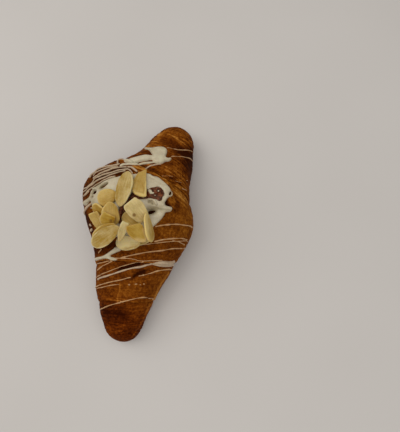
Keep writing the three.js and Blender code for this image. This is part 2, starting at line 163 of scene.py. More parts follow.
# Where the oven baked it darker (minus) or lighter, and where painted shade (minus) or a painted highlight
# lies, as a line in plan, a width and an amount
BROWNING_AND_PAINTED_LIGHT = [
    ([(-0.3, 58), (2.1, 61), (5.2, 61.7), (8.9, 60), (11.9, 57.6), (16.5, 54.6), (20, 53.3)], 1.6, 0.22),
    # Painted shade on the right flank of the far half
    ([(20.3, 51.8), (21.9, 47.8), (23.4, 43.9), (24.3, 38.4)], 4.5, -0.5),
    ([(-3.7, 46.7), (-1.4, 49.7), (0.9, 52.8), (0.2, 57.4)], 2, 0.2),
    ([(24, -4.3), (29.5, 0), (30, 6.3), (28.7, 11.4), (26.6, 16.5)], 6, 0.13),
    ([(12.6, 31.2), (18.1, 34.1), (23.2, 38.5)], 3, 0.14),
    ([(18.6, 26.1), (22.1, 28), (25.2, 30.9)], 3, -0.2),
    ([(-4.3, -48.6), (-0.1, -47.4), (4.2, -46.3)], 4, 0.15),
    ([(4.6, -54.2), (12, -55.7), (17.5, -56.8)], 6, -0.08),
    ([(4.7, -32.2), (12.8, -30.1), (20.4, -28)], 3, -0.1),
    ([(-27.1, 9.9), (-23.2, 14.8), (-18.6, 17.6), (-13.8, 20.6), (-9.8, 22.9)], 5.5, -0.42),
    # This row and the next: baked darker, with painted shade along the left edge and below a flake
    ([(-26.1, -5.2), (-23.4, -8.2), (-20.4, -11.3), (-18.3, -13.9)], 2.2, -0.4),
    ([(-14, -23.9), (-8.5, -22.3), (-4.8, -20), (-2.7, -18)], 2.4, -0.4),
    ([(-3.7, 27.3), (-0.5, 27.1), (2.5, 26.9)], 1.2, 0.5),
    ([(15.5, 46.5), (18.5, 48), (21, 49.6)], 2.2, -0.18),
    ([(0.9, -55.1), (5.6, -55.8), (9.1, -56.2), (12.2, -55.4)], 4, -0.18),
    ([(10.2, -63.4), (13.5, -64), (17, -62.2)], 3.6, -0.1),
    ([(19.5, -47), (18.6, -50.6), (18.1, -54)], 2.4, 0.14),
    ([(10.4, -40.1), (14.9, -40.2), (16.9, -41)], 3, 0.1),
    (TORN_EDGES[0], 0.5, 0.05),
    ([(20.8, 14.6), (22, 13.4)], 1.4, 0.2),
    ([(23, 17.2), (24.8, 14.7), (26, 11.1), (26, 7.6)], 1.2, -0.18),
    # Painted highlight: a thin line of reflected light along the right edge of the near half
    ([(28.7, -25), (26, -32.8), (24.2, -40.9), (22.5, -46.2), (21.9, -52.3), (20.5, -58.5), (18.2, -64.4)],
     0.5, 0.35),
]

# Icing: outlines in plan
POOL = [
    (5.8, 24.7), (8.3, 24.2), (11, 24.4), (13.4, 23.7), (15.9, 22.5), (18.2, 21.2), (19.8, 19.6),
    (21.2, 18.4), (21.6, 16.4), (20.4, 14.8), (19.5, 12.3), (19.5, 10.2), (21.1, 9.6), (23.1, 10),
    (23.9, 9), (23.4, 7.2), (21.3, 5.9), (20.9, 4.4), (19.9, 1.6), (18.5, -1), (17.1, -3.3),
    (14.5, -7.5), (11.5, -10.5), (5, -14), (-1, -14), (-5, -11.5), (-12, -8), (-18, -4), (-20.6, 0.4),
    (-22.4, 2.2), (-25, 0), (-27.6, 0), (-28.2, 1.6), (-25.6, 3), (-23.4, 4.6), (-23.4, 7.9),
    (-21, 9.6), (-17.8, 12.2), (-15.2, 14.6), (-12, 16.3), (-8.2, 18.8), (-2, 21.6),
]
POOL_HOLES = [
    [(9, 14.9), (11.3, 16.6), (12.4, 17.3), (13.2, 18.2), (14.6, 18), (15.4, 17.2), (16.4, 17),
     (17.2, 14.8), (16.5, 13.4), (16.9, 11.6), (16, 10.8), (14.9, 11.2), (13.4, 11.2), (12.2, 10.4),
     (10.6, 10.5), (8, 9.6), (5.3, 8.2), (3, 4.4), (1.4, 1.2), (0.4, -3), (-0.2, -6), (-1.4, -6.4),
     (-2.2, -5), (-2.8, -2), (-3, 1.6), (-2, 5.4), (0.4, 9.4), (2.7, 12.2), (5.4, 13.8)],
    [(11.4, 2.6), (11.9, 4), (13.4, 5), (15.5, 5.3), (15.3, 4.2), (13.8, 2.9), (12.4, 2.1)],
    [(-22.4, 7.6), (-21.3, 8.4), (-19.5, 8.3), (-19.3, 7.1), (-20.9, 6.2), (-22, 6.5)],
    [(-17.2, 10.1), (-15.8, 11.8), (-14, 13.2), (-13.3, 12.6), (-14.8, 10.9), (-16.6, 9.5)],
    [(20, 18.8), (20.7, 18.3), (20.6, 16.4), (20, 16), (19.6, 17.2)],
    [(-21.8, 4.9), (-21, 5.3), (-20.4, 4.5), (-21.3, 3.7)],
]
POOL_DENTS = [  # dents between its folds, as a line in plan, a width and a depth
    ([(11.4, 8.6), (12.7, 9), (13.5, 8.3)], 0.6, 1.6),
    ([(8.6, 7.6), (10.4, 7.2), (12.6, 6.6)], 1.9, 0.5),
    ([(15.8, 6), (17.6, 6), (20, 6.2), (22, 6.9)], 0.8, 0.6),
]
SHEER_AND_SHADE = [  # where the icing is thin and the crust tints it, and where shade is painted into it, as a line in plan, a width and an amount
    # These three rows are partly painted shade: below the curl, in the dent under it and in the slit
    ([(12.6, 6.2), (15.2, 6.4), (18.6, 6.6)], 1.6, 0.5),
    ([(11.2, 8.5), (12.6, 8.9), (13.4, 8.2)], 0.5, 0.5),
    ([(-17, 10.4), (-15.5, 11.7), (-13.8, 13)], 0.6, 0.9),
    ([(-21, 12.2), (-18.3, 10.6), (-15.8, 9.2)], 2, 0.4),
    ([(-23.5, 3.2), (-20.6, 2.4), (-18.8, 0)], 2, 0.35),
    ([(-28, 10), (-22, 17), (-11, 23.5)], 7, 0.22),
]
BLOB = [
    (-4.4, 44.3), (-0.8, 43.8), (1.6, 43.9), (4.6, 45.5), (7.5, 46.2), (9.5, 45.4), (10.3, 43.7),
    (10.7, 40.2), (11.9, 39), (13.2, 40.1), (14.2, 39.6), (13.6, 37.8), (11.7, 36.2), (10.3, 34.3),
    (7.5, 33.2), (5.3, 34), (4.3, 34.9), (0.9, 33.3), (-3.4, 31), (-5.9, 29.5), (-10.3, 29.4),
    (-11.4, 30.7), (-8, 33.1), (-4.4, 34.9), (-0.5, 37), (3, 37.6), (3.2, 38.6), (1.8, 40.2),
    (-0.9, 42.5), (-3.8, 43.2),
]
WEDGE = [
    (-0.8, -19.1), (-2.1, -20.5), (-4.9, -23.3), (-8.6, -25.8), (-13.8, -27.5), (-13.8, -28.8),
    (-11.8, -28.7), (-9.5, -27.8), (-6.4, -26.8), (-4.3, -26.3), (-1.6, -26.6), (0.4, -26.1),
    (1.5, -25.1), (-0.8, -25), (-3, -24.8), (-2.6, -23.9), (-0.3, -22.3), (2.5, -20.3), (2.2, -18.7),
]
DRIP = [
    (19.4, -22.9), (21.4, -22), (23.9, -20.4), (26.2, -19.4), (28.2, -18.8), (29.8, -18),
    (30.9, -17.2), (31.3, -18.4), (30, -20.6), (28.4, -21.8), (25.3, -22.9), (22.3, -23.2),
]

# Icing: strands as their width and the places that they pass, on the skin below or at a height of their own
RIDGES_BITS_AND_GLINTS = [  # folds in the pool and white bits on the filling, two of them painted highlights, with how far they are lifted
    (1.8, 0.8, [(17.2, 10.3), (18.4, 12), (18.9, 14.6), (18.7, 17.2), (17.4, 19.4), (15.4, 20.6)]),
    (1.2, 2.3, [(9.6, 9.2), (11.4, 9.9), (12.9, 10), (14, 9.5), (14.9, 8.5), (15.5, 7.6)]),
    (2.1, 1.5, [(16.4, 6.9), (18.7, 7.6), (20.8, 8.2), (23, 8.6)]),
    (2.4, 1.7, [(8.7, 14.2), (9.8, 14.3), (10.5, 13.6), (10.9, 12.7)]),
    (1.2, 2.1, [(11.2, 13.1), (11.7, 13.6), (12.3, 14.1)]),
    # These two rows are dots of white icing laid as painted highlights where the filling glints
    (1.6, 2.2, [(13.6, 15.2), (14.3, 16)]),
    (1.2, 2.2, [(12.8, 12.5), (13.4, 13)]),
    (1.8, 0.8, [(-21.4, 3.8), (-24.4, 1.8), (-27, 1)]),
    (1.3, 1, [(-22.6, 8.8), (-19.8, 9.9), (-16.6, 12.6), (-13.6, 14.8), (-9.4, 17.2)]),
]
DRIZZLE = [
    (1.4, [(-11.5, 25.3), (-10.5, 26.7), (-7.8, 28), (-3.7, 29), (-0.2, 30.8), (3.7, 32.4), (6.6, 33.7)]),
]
STRANDS = [
    (1.1, [(-8.4, -38.6, 25.6), (-6.7, -37.5), (0.5, -33.8), (5.9, -30.4), (10.5, -27.9), (15.1, -25.9),
           (17.7, -24.2), (20.8, -22.5)]),
    (1.2, [(-28.8, 16.3), (-29, 19), (-26.8, 22.2), (-23.4, 24.2), (-18.6, 25.2), (-14.6, 26.2),
           (-12.4, 27.6)]),
    (0.9, [(-27, 17.4), (-24.4, 20.6), (-20.6, 22.8), (-16.6, 24.2), (-12.6, 25.4)]),
    (1.1, [(-25.4, 15.2), (-22.9, 18), (-19.6, 20.5), (-15.8, 22.7), (-10.9, 24.9), (-7.2, 25.8)]),
    (1, [(-31, 9.2, 33.8), (-27.7, 10.2), (-25.2, 12.6), (-23.5, 15.8), (-19.8, 18.1), (-15.4, 19.9),
         (-12.2, 21.7), (-8.1, 23.7), (-5.8, 24.8)]),
    (1, [(-30.6, 7.4, 34), (-28.5, 8.3), (-24.8, 11.5), (-21.4, 14.6), (-16.9, 17.2), (-13.1, 19.5),
         (-9.9, 21.4), (-6.7, 23.1)]),
    (1, [(-29.6, 5.2, 34), (-27.6, 6.4), (-24.3, 9.5), (-19.5, 13.1), (-15.3, 16.2), (-10.9, 18.4)]),
    (1.2, [(-7.2, 25.8), (-4.6, 26.2), (-2.1, 25.1), (-0.3, 24.1)]),
    (1, [(-6.2, 24.7), (-4.2, 23.8), (-2.2, 22.1)]),
    (0.8, [(2.7, 27.9), (4.4, 30.3), (7.1, 32.2), (10.2, 34.1)]),
    (1, [(-14.1, 27.4), (-16, 30.3), (-15, 32.2), (-11.1, 30.8)]),
    (0.9, [(-27.8, 5.3), (-26.6, 6.5), (-25.1, 7.7)]),
    (1.4, [(-29.6, -4.4, 25), (-26.5, -2.8), (-24.4, -1), (-21.8, 0.7), (-20.8, 1.6)]),
    (0.8, [(-21.6, -1.5), (-19.5, -1)]),
    (1.4, [(-20.2, -13.6, 31.5), (-18.4, -12.2)]),
    (1.2, [(-21.1, -9.8), (-19.2, -10.9)]),
]
THREADS = [
    (0.9, [(8.9, 47), (12, 48), (15.4, 48.8), (19, 51, 26), (21.2, 53.6, 20.6), (22, 54.6, 15)]),
    (0.9, [(13.3, 41.4), (18, 44.2), (22.6, 48.2, 20.6), (23.6, 49, 15)]),
    (1.3, [(17.6, -3.3), (22, -1), (26, 1), (29.8, 2.5), (34.2, 4.3, 28.6), (35.2, 4.6, 24)]),
    (1.1, [(19, -11.1), (25, -7.8), (31.5, -4.7, 32), (34, -3, 24)]),
    (0.8, [(13.7, -14.4), (20, -11.6), (27, -8.4), (34, -4.5, 26), (34.6, -4, 21)]),
    (0.9, [(28, -7.4), (31, -6.8), (33.2, -6.4, 24)]),
    (1.1, [(-3, -26.6), (3, -24.2), (10, -20.8), (17.3, -17.3), (24, -14.4), (30, -11), (34.1, -8, 20.5)]),
    (0.9, [(-4.6, -26.1), (2, -24.6), (8.8, -23.2), (14.1, -23), (20, -21.2), (25.2, -19.3)]),
    (0.9, [(-10.4, -38.2, 22), (-8.4, -36.9, 26), (-0.2, -31.7), (2.8, -29.7), (7.4, -26.8), (11.3, -24.6),
           (16, -22.9)]),
    (0.9, [(-11.5, -24.7), (-9.4, -22)]),
    (0.9, [(-12, -31, 24), (-8, -29.2), (-4, -27.4), (-1, -26.2)]),
    (1, [(-9.8, -34, 27.3), (-5.1, -29.7), (-1.5, -26.7)]),
    (1, [(-9.8, -43.6, 18), (-8.5, -42.6, 23.3), (-3, -39.8), (2.7, -37.1), (7, -35), (10.9, -32.8)]),
    (1, [(14.6, -31.2), (17.7, -29.8), (20.6, -28), (24, -25.6), (27.7, -23, 24.4), (28.6, -22.4, 19)]),
    (0.9, [(-8.2, -44.1, 22.8), (-2, -41.2), (2.2, -39.4), (5.7, -38.2)]),
    (0.5, [(12.6, 26.5), (15.3, 27.9), (18.6, 29.1)]),
    (0.5, [(17.5, 26.2), (20.6, 27.1), (23.6, 28.2)]),
    (0.9, [(24.5, 24.7), (25.7, 25), (27, 25.6)]),
    (1, [(-4, -55.2, 17), (-2.8, -54.4, 22.1), (2, -51.2), (6.7, -48.5), (13, -45), (19.9, -41.9),
         (23.4, -41.4, 16)]),
]
DROPLETS = [  # short dashes of icing, one behind the other
    (1, [(25.1, 31.8), (25.5, 32.2)]),
    (1.6, [(10.3, -37.1), (11.5, -36.9)]), (1.7, [(13.5, -36), (15.2, -35.5)]),
    (1.3, [(16.3, -35.6), (17, -35.4)]), (1.6, [(17.9, -34.9), (19, -34.3)]),
    (1.3, [(16.6, -30.3), (17.8, -29.6)]), (1.1, [(19, -29), (19.6, -28.7)]),
]
FILLING = [
    (8.2, 15.8), (10.8, 17.7), (13.2, 18.7), (15.6, 18.3), (17.2, 16.8), (17.6, 15), (17.4, 13.2),
    (17.3, 10.8), (15.6, 10.1), (13.8, 10.7), (11, 9.9), (8.2, 9), (5.6, 7.7), (3.4, 4), (1.8, 0.6),
    (0.9, -3), (0.2, -6.4), (-1.4, -7), (-2.6, -5.4), (-3.2, -2), (-3.4, 1.6), (-2.4, 5.6), (0, 9.6),
    (2.4, 12.6), (5.2, 14.2),
]
SPREAD_PITCH = 0.4  # grid on which icing and filling are laid
SUNK = 0.9  # how deep they reach into the skin
HOLE_STEEPNESS = 1.8  # the rim of a hole is steeper than the outer rim
STRAND_PITCH = 0.4
SWELL_LENGTH = 2.4  # along a strand, from one swelling to the next
CRUMB_FACES = 40  # loose specks of fewer faces are dropped from fused icing

# Flaked almonds: tone, heading in plan of the side where the cut edge shows, its width and paleness, how
# strongly a brown line borders it, ripeness, and how much less ripe that side is. The pale cut edge and
# that less ripe side are partly painted light, where a rim or a side of a flake is lit.
FLAKES = [
    ("tan", 165, 0.8, 0.5, 0, -0.03, 0.35), ("tan", 100, 0.6, 0.8, 0, 0.4, 0.12),
    ("tan", 195, 0.7, 0.8, 0, 0, 0.12), ("pale", -40, 0.8, 0.6, 0.3, 0.27, 0.12),
    # The fifth flake is painted paler, more so toward its left side, as painted light
    ("pale", -52, 0.9, 0, 1, -0.34, -0.45), ("tan", 150, 0.6, 0.8, 0, 0.05, 0.12),
    ("tan", -30, 1.3, 0.8, 0.6, 0, 0.12), ("pale", 10, 0.9, 0.8, 0, 0.22, 0.12),
    ("tan", 190, 0.7, 0.8, 0, 0, 0.12), ("gold", 200, 0.7, 0.8, 0, 0.05, 0.12),
    ("tan", 200, 0.7, 0.8, 0, 0.1, 0.12), ("pale", 235, 0.7, 0.8, 0, 0.33, 0),
    ("pale", 60, 0.8, 0.8, 0, -0.08, 0.12), ("pale", 130, 0.6, 0.8, 0, -0.1, 0.12),
    # On the last two flakes the wide pale cut edge is mostly painted light: a highlight on the fifteenth
    # and a lit face on the sixteenth, whose strong fade also paints its other face a deeper gold, as
    # painted light
    ("gold", -20, 1.8, 0.7, 0, 0.01, 0.12), ("tan", 200, 3.2, 1, 0.6, -0.25, 0.5),
]
DEEPER = (0.86, 0.78, 0.4)  # what the ripest flesh keeps of a flake's ripe colour
SPOTS = {  # brown spots: their flake, place, radius and softness
    14: ((7.59, -1.73, 53.97), 0.6, 0.4),
    10: ((-3.49, -7.53, 53.06), 0.2, 0.7),
}

# How a flake is made from its solid
FLAKE_MERGE = 0.01
FLAKE_VOXEL = 0.26
FLAKE_GRAIN = 5  # size of one swell of a flake's unevenness
WARP = (0.3, 0.25)  # height of its unevenness, rise of its sides
GROOVE_HEIGHT = 0.05
THINNING = (0.3, 0.8)  # share and reach from the rim
RIM_UNEVENNESS = (0.22, 1.2)  # amount and reach from the rim
FACING = (-0.1, 0.7)  # cosines off its heading over which the cut edge comes to show
CUT_WIDTHS = (0.25, 0.75)  # share of its width all round, and more where it shows
CUT_PALENESS = (0.35, 0.65)  # the same for its paleness
CUT_UNEVENNESS = 0.5
CUT_FADE = (0.5, 1.4)  # widths from the rim over which it fades
LINE_PLACE = 1.25  # widths from the rim to the brown line beside it
LINE_WIDTH = 0.32
# Patterns on a flake: how much finer than its grain they are, along, across and apart, and a seed
SWELLS = ((1, 1, 1), 21)
GROOVES = ((0.4, 7, 1), 22)
RIM_WAVES = ((2.2, 2.2, 1), 23)
CUT_WAVES = ((2, 2, 1), 24)
NOISE_SHIFT, MAP_SHIFT = 7.3, 0.37  # set the unevenness and the map of one flake apart from the next

# Colours of each icing from its darkest to its palest tone, and its roughness
ICINGS = {
    "sugar_icing": (((0.43, 0.365, 0.22), (0.56, 0.485, 0.34), (0.62, 0.58, 0.4)), 0.38),
    "runny_icing": (((0.37, 0.265, 0.175), (0.49, 0.36, 0.235), (0.58, 0.45, 0.3)), 0.4),
    "thin_icing": (((0.37, 0.195, 0.075), (0.49, 0.275, 0.118), (0.62, 0.39, 0.19)), 0.42),
}
ICING_TONES = (0.2, 0.5, 0.75)  # where these colours lie on the scale of tones
# Tint of thin icing and of the painted shade on it
SHEER_AND_SHADE_TINT = (0.2, 0.15, 0.06, 1)
# Colours of the almond flesh: ripe, plain and along a cut edge, which also serves as painted light on a lit
# side
ALMONDS = {
    "pale": ((0.42, 0.285, 0.09), (0.66, 0.53, 0.25), (0.66, 0.55, 0.28)),
    "tan": ((0.39, 0.23, 0.04), (0.56, 0.395, 0.13), (0.7, 0.53, 0.2)),
    "gold": ((0.36, 0.195, 0.015), (0.54, 0.375, 0.09), (0.64, 0.46, 0.2)),
}
ALMOND_TONES = (0.2, 0.8, 1)  # where plain, ripe and the ripest flesh lie on the scale of tones
LINE_TINT = (0.30, 0.15, 0.02)
SPOT_TINT = (0.16, 0.07, 0.012)
CRUST_COLOURS = [  # place on the scale of browning, and colour
    (0.05, (0.030, 0.006, 0.001)), (0.35, (0.098, 0.0235, 0.0023)), (0.55, (0.178, 0.05, 0.004)),
    (0.78, (0.31, 0.11, 0.011)), (1, (0.48, 0.22, 0.04)),
]
RUDDY_TINT = (1, 0.76, 0.7, 1)
FILLING_COLOURS = [
    (0.2, (0.022, 0.005, 0.0015)), (0.5, (0.105, 0.024, 0.007)), (0.85, (0.26, 0.085, 0.035)),
]
FLOOR_COLOURS = [(0.3, (0.60, 0.575, 0.55)), (0.7, (0.63, 0.605, 0.58))]

# Floor, and the lights as place, size, power and colour, in metres and watts
FLOOR_SIZE = 8
LIGHTS = {
    "window": ((-0.45, 0.05, 0.7), 0.6, 1.9, (1, 0.97, 0.93)),
    "ceiling": ((0.15, -0.1, 1), 1.2, 4.4, (1, 0.98, 0.95)),
}
ROOM_COLOUR = (1, 0.97, 0.94, 1)
ROOM_STRENGTH = 0.38

# The photograph's viewpoint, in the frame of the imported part
CAMERA_PLACE = (53.787, -30.797, 225.657)
CAMERA_RIGHT = (0.967797, 0.250885, -0.020622)
CAMERA_UP = (-0.240218, 0.944923, 0.222296)
CAMERA_AHEAD = (-0.075257, 0.210183, -0.974761)
PHOTO_HEIGHT = 432
FOCAL_PIXELS = 340
SENSOR = 36


def to_frame(points):
    """Points of the drawing, in millimetres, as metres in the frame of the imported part."""
    return (np.asarray(points, float) + RECENTRED) * MM


def soft_noise(points, seed):
    """Smooth noise between -1 and 1, with one swell per unit of length."""
    side = 32
    table = np.random.default_rng(seed).uniform(-1, 1, (side, side, side))
    cell = np.floor(points).astype(int)
    part = points - cell
    part = part * part * (3 - 2 * part)
    total = np.zeros(len(points))
    for corner in itertools.product((0, 1), repeat=3):
        weight = np.prod(np.where(corner, part, 1 - part), axis=1)
        total += weight * table[tuple(((cell + corner) % side).T)]
    return total


def smooth_step(low, high, values):
    """0 below low, 1 above high and a smooth rise between them."""
    share = np.clip((values - low) / (high - low), 0, 1)
    return share * share * (3 - 2 * share)


def with_more(shares, where):
    """The first share everywhere, and as much of the second on top as a value says."""
    return shares[0] + shares[1] * where


# Modelling helpers


def select_only(piece):
    """Selects one object alone and makes it active."""
    bpy.ops.object.select_all(action="DESELECT")
    piece.select_set(True)
    bpy.context.view_layer.objects.active = piece


def new_piece(name, form):
    """An object in the scene from a mesh or a curve."""
    piece = bpy.data.objects.new(name, form)
    bpy.context.scene.collection.objects.link(piece)
    return piece


def clean_mesh(piece, merge):
    """Merges corners closer than a distance in metres, closes slits and turns all faces outwards."""
    select_only(piece)
    bpy.ops.object.mode_set(mode="EDIT")
    bpy.ops.mesh.select_all(action="SELECT")
    bpy.ops.mesh.remove_doubles(threshold=merge)
    bpy.ops.mesh.dissolve_degenerate(threshold=merge)
    bpy.ops.mesh.select_all(action="SELECT")
    bpy.ops.mesh.fill_holes(sides=6)
    bpy.ops.mesh.normals_make_consistent(inside=False)
    bpy.ops.object.mode_set(mode="OBJECT")


def shape_with(piece, kind, **settings):
    """Adds a modifier with its settings and applies it."""
    select_only(piece)
    modifier = piece.modifiers.new(kind.lower(), kind)
    for key, value in settings.items():
        setattr(modifier, key, value)
    bpy.ops.object.modifier_apply(modifier=modifier.name)


def joined(pieces, name):
    """Joins pieces into the first of them and names it."""
    bpy.ops.object.select_all(action="DESELECT")
    for piece in pieces:
        piece.select_set(True)
    bpy.context.view_layer.objects.active = pieces[0]
    bpy.ops.object.join()
    pieces[0].name = name
    return pieces[0]


def without_crumbs(piece):
    """Deletes the loose specks of a piece."""
    name = piece.name
    select_only(piece)
    bpy.ops.mesh.separate(type="LOOSE")
    parts = list(bpy.context.selected_objects)
    kept = [part for part in parts if len(part.data.polygons) >= CRUMB_FACES]
    for part in kept:
        part.select_set(False)
    bpy.ops.object.delete()
    return joined(kept, name)


def fuse(pieces, name, voxel, smoothing):
    """Joins closed pieces into one soft body."""
    whole = joined(pieces, name)
    shape_with(whole, "REMESH", mode="VOXEL", voxel_size=voxel * MM)
    shape_with(whole, "SMOOTH", factor=0.5, iterations=smoothing)
    whole = without_crumbs(whole)
    bpy.ops.object.shade_smooth()
    return whole


def points_of(piece):
    """The points of a piece in metres, one to a row."""
    places = np.empty(3 * len(piece.data.vertices), np.float32)
    piece.data.vertices.foreach_get("co", places)
    return places.reshape(-1, 3).astype(float)


def set_points(piece, points):
    piece.data.vertices.foreach_set("co", np.asarray(points, np.float32).ravel())
    piece.data.update()


def set_attribute(piece, name, values):
    """Stores a number for each point, for the material to read."""
    attribute = piece.data.attributes.new(name, "FLOAT", "POINT")
    attribute.data.foreach_set("value", np.asarray(values, np.float32))


def set_uv(piece, name, per_point):
    """Lays a UV map from one pair of values per point."""
    while piece.data.uv_layers:
        piece.data.uv_layers.remove(piece.data.uv_layers[0])
    layer = piece.data.uv_layers.new(name=name)
    corners = np.empty(len(piece.data.loops), np.int32)
    piece.data.loops.foreach_get("vertex_index", corners)
    layer.data.foreach_set("uv", np.asarray(per_point, np.float32)[corners].ravel())


# The pastry


def curve_weights(t):
    """On a smooth curve: weights of its start, of the slope there, of its end and of the slope there."""
    return 2 * t**3 - 3 * t**2 + 1, t**3 - 2 * t**2 + t, 3 * t**2 - 2 * t**3, t**3 - t**2


def section_at(y, column):
    """Smooth curve through one column of SECTIONS."""
    knots, values = SECTIONS[:, 0], SECTIONS[:, column]
    i = np.minimum(np.searchsorted(knots[1:], y), len(knots) - 2)
    before, after = np.maximum(i - 1, 0), np.minimum(i + 2, len(knots) - 1)
    span = knots[i + 1] - knots[i]
    slope_in = (values[i + 1] - values[before]) / (knots[i + 1] - knots[before]) * span
    slope_out = (values[after] - values[i]) / (knots[after] - knots[i]) * span
    start, leave, end, arrive = curve_weights(np.clip((y - knots[i]) / span, 0, 1))
    return start * values[i] + leave * slope_in + end * values[i + 1] + arrive * slope_out


def skin_points(y, angle, lift):
    """The skin at places along the pastry and angles around it, lifted off the plain form."""
    tip = np.sqrt(np.maximum(1 - np.abs(2 * y / LENGTH) ** TIP_BLUNTNESS, 0))
    left, right, top = (section_at(y, column) for column in (LEFT, RIGHT, TOP))
    over, up = np.cos(angle), np.sin(angle)
    over, up = (np.sign(v) * np.abs(v) ** ROUNDNESS for v in (over, up))
    waist = WAIST * top
    x = (left + right) / 2 + over * ((right - left) / 2 + lift) * tip
    rise = np.where(up > 0, top - waist + lift, BELLY * waist)
    return np.stack([x, y, np.maximum(waist + up * rise * tip, 0)], axis=1)


def edge_reach(side, share):
    """How far along its half the edge of the dough lies after a share of its turns."""
    middle, tip = np.where(side[:, None] < 0, CROWDING[-1], CROWDING[1]).T
    return 1 - (1 - np.clip(share, 0, 1) ** middle) ** tip


def pillow(across):
    """Height of one turn from the crease where it comes out (0) to its own lip (1)."""
    return (1 - np.exp(-CREASE_STEEPNESS * across)) * (1 - LIP_FALL * across**LIP_SHARPNESS) - TURN_SINK


def roll_rows():
    """Side, turn and share across it of each row of the skin, from the near tip to the far one."""
    even = np.linspace(0, 1, ROWS_PER_TURN + 1)
    across = even - EDGE_CROWDING * np.sin(2 * np.pi * even)
    half = [(turn, share) for turn in range(-1, TURNS) for share in across]
    return np.array([(-1, *row) for row in reversed(half)] + [(1, *row) for row in half])


def dough_places(side, turn, across, around):
    """Where points of the dough lie: along the pastry, across their turn, from its crease and its lip."""
    inner = np.where(turn < 0, 0, edge_reach(side, (turn + around) / TURNS))
    inner = np.where(inner > 1 - TIP_END, 1, inner)
    outer = np.where(turn + 1 < TURNS, edge_reach(side, (turn + 1 + around) / TURNS), 1)
    y = side * LENGTH / 2 * (inner + (outer - inner) * across)
    width = LENGTH / 2 * (outer - inner)
    from_crease = width * across + np.where(turn < 0, LENGTH, 0)
    from_lip = width * (1 - across)
    return y, np.where(turn < 0, 1 - around + around * across, across), from_crease, from_lip


def sheet_noise(sheet, pattern):
    """The noise of a pattern in the sheet of dough."""
    size, seed = pattern
    return soft_noise(sheet / size, seed)


def crust_relief(plain, turn, around, from_lip, across):
    """Height of the baked crust over the plain form: swellings, layers along the lips and wrinkles."""
    swelling = sum(height * soft_noise(plain / size, seed) for height, size, seed in SWELLINGS)
    sheet = np.stack([around * GIRTH, from_lip, TURN_SHIFT * turn], axis=1)
    flaky = smooth_step(*FLAKY_FROM, plain[:, 1])
    layers = np.sin(2 * np.pi * (from_lip / LAYER_PITCH + LAYER_BEND * sheet_noise(sheet, BENDS)))
    everywhere, more_flaky, more_lip = LAYER_DEPTHS
    depth = everywhere + more_flaky * flaky + more_lip * np.exp(-from_lip / LIP_REACH)
    depth *= with_more(LAYER_SHARES, sheet_noise(sheet, PATCHES))
    wrinkles = with_more(WRINKLE_HEIGHTS, flaky) * sheet_noise(sheet, WRINKLES)
    wrinkles += FINE_WRINKLE_HEIGHT * sheet_noise(sheet, FINE_WRINKLES)
    frayed = FRAY_HEIGHT * np.exp(-from_lip / FRAY_REACH) * sheet_noise(sheet, FRAYS)
    seam = np.clip(across / CREASE_FADE, 0, 1)
    closing = np.clip(np.minimum(around, 1 - around) / CLOSING, 0, 1)
    return swelling + ((layers * depth + wrinkles) * seam + frayed) * closing


def marks_on(points, rows):
    """For each row's line in plan, 1 on it and fading to 0 over the row's width."""
    marks = []
    for line, width, *_ in rows:
        places = smooth_line(line, MARK_PITCH)
        near = np.flatnonzero(np.abs(points[:, :2] - places.mean(0)).max(1) < MARK_REACH)
        distance = np.full(len(points), np.inf)
        distance[near] = np.linalg.norm(points[near, None, :2] - places, axis=2).min(1)
        marks.append(np.exp(-((distance / width) ** 2)))
    return marks


def weighted_marks(points, rows):
    """The sum of the rows' marks, each with the amount that its row gives."""
    return sum(mark * row[2] for mark, row in zip(marks_on(points, rows), rows))


def crust_marks(plain):
    """How strong the pits, the knob's hollow, the torn edges and the browning with its painted shade and
    highlights are at points.
    """
    upper = smooth_step(*MARKED_FROM, plain[:, 2])
    pits = weighted_marks(plain, PITS) * upper
    hollow = marks_on(plain, [KNOB_HOLLOW])[0] * upper
    torn = sum(marks_on(plain, [(line, TORN_WIDTH) for line in TORN_EDGES])) * upper
    browning_and_painted_light = weighted_marks(plain, BROWNING_AND_PAINTED_LIGHT) * upper
    return pits, hollow, torn, browning_and_painted_light


def bake_and_painted_light_tone(plain, from_crease, from_lip, step, marks):
    """How brown the crust is, with painted shade in its creases, pits and the knob's hollow and in some
    rows of marks, and a painted highlight along one edge.
    """
    pits, hollow, torn, browning_and_painted_light = marks
    y = plain[:, 1]
    stepped = np.clip(step / TURN_STEP, 0, 1)
    far = smooth_step(*SHADED_CREASES, y)
    lip = np.exp(-from_lip / LIP_LINE) * stepped
    # painted shade in the creases
    crease = np.exp(-from_crease / CREASE_LINE) * stepped * with_more(CREASE_SHARES, far)
    near_tip = smooth_step(*DARK_NEAR_TIP, y)
    blotches = sum(amount * soft_noise(plain / size, seed) for amount, size, seed in BLOTCHES)
    # painted shade in the pits and the knob's hollow, added to the browning with its painted shade and
    # highlight
    marked = browning_and_painted_light + TORN_TONE * torn + PIT_SHADE * pits + HOLLOW_SHADE * hollow
    return BROWN + LIP_TONE * lip + CREASE_SHADE * crease + NEAR_TIP_TONE * near_tip + blotches + marked


def colour_crust(pastry, plain, from_crease, from_lip, step, marks):
    """Stores on the pastry how brown it is together with its painted shade and highlights, how strongly its
    layers show and how red it is.
    """
    y = plain[:, 1]
    hollow = marks[1]
    ranges = LAYERED_FAR_HALF, RUDDY_NEAR_HALF, RUDDY_NEAR_TIP, RUDDY_FAR_END
    far_half, near_half, near_tip, far_end = (smooth_step(*ends, y) for ends in ranges)
    lip = np.exp(-from_lip / LAYERED_REACH)
    layered = sum(share * where for share, where in zip(LAYERED, (1, far_half, lip, near_tip)))
    ruddy = sum(share * where for share, where in zip(RUDDY, (near_half, near_tip, hollow, far_end)))
    set_attribute(pastry, "bake_and_painted_light", bake_and_painted_light_tone(plain, from_crease, from_lip, step, marks))
    set_attribute(pastry, "layered", layered * (1 - HOLLOW_SMOOTHNESS * hollow))
    set_attribute(pastry, "ruddy", ruddy)


